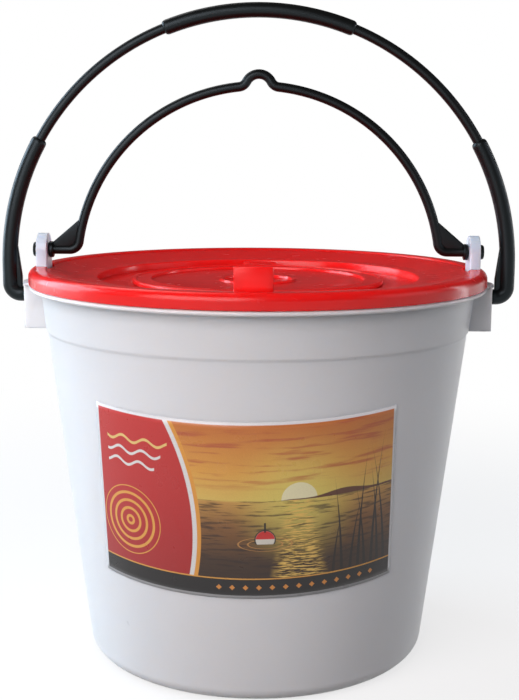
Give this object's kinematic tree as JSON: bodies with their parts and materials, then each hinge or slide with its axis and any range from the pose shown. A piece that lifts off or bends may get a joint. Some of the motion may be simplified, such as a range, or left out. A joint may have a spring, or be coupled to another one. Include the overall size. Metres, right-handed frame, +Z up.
{
  "type": "bait bucket with drain bucket and lid",
  "caption": "Round bait bucket with a drain bucket inside, a bracket lid with a round hatch, a big carrying handle and a small lifting handle.",
  "frame": {"origin": "centre of the ground face of the outer bucket's foot ring, under the bucket's axis", "axes": "+X to the right handle lug, +Y from the bracket plate and the label to the hatch hinge at the back, +Z up"},
  "size_m": [0.3, 0.265, 0.3761],
  "materials": {
    "milky_plastic": "translucent, soft sheen",
    "red_plastic": "gloss",
    "black_plastic": "gloss",
    "printed_film": "gloss print on film"
  },
  "bodies": {
    "outer_bucket": {"outer_bucket": "milky_plastic", "label": "printed_film"},
    "outer_bail": {"outer_bail": "black_plastic"},
    "inner_bucket": {"inner_bucket": "milky_plastic", "lid": "red_plastic"},
    "inner_bail": {"inner_bail": "black_plastic"},
    "hatch": {"hatch": "red_plastic"}
  },
  "joints": [
    {"name": "outer_bail_hinge", "type": "hinge", "parent": "outer_bucket", "child": "outer_bail", "pos_m": [0, 0, 0.2092], "axis": [1, 0, 0], "range_deg": [-134, 134]},
    {"name": "inner_bucket_lift", "type": "slide", "parent": "outer_bucket", "child": "inner_bucket", "axis": [0, 0, 1], "range_m": [0, 0.027]},
    {"name": "inner_bail_hinge", "type": "hinge", "parent": "inner_bucket", "child": "inner_bail", "pos_m": [0, 0, 0.2353], "axis": [1, 0, 0], "range_deg": [-95, 95]},
    {"name": "hatch_hinge", "type": "hinge", "parent": "inner_bucket", "child": "hatch", "pos_m": [0, 0.077, 0.2193], "axis": [-1, 0, 0], "range_deg": [0, 46]}
  ]
}
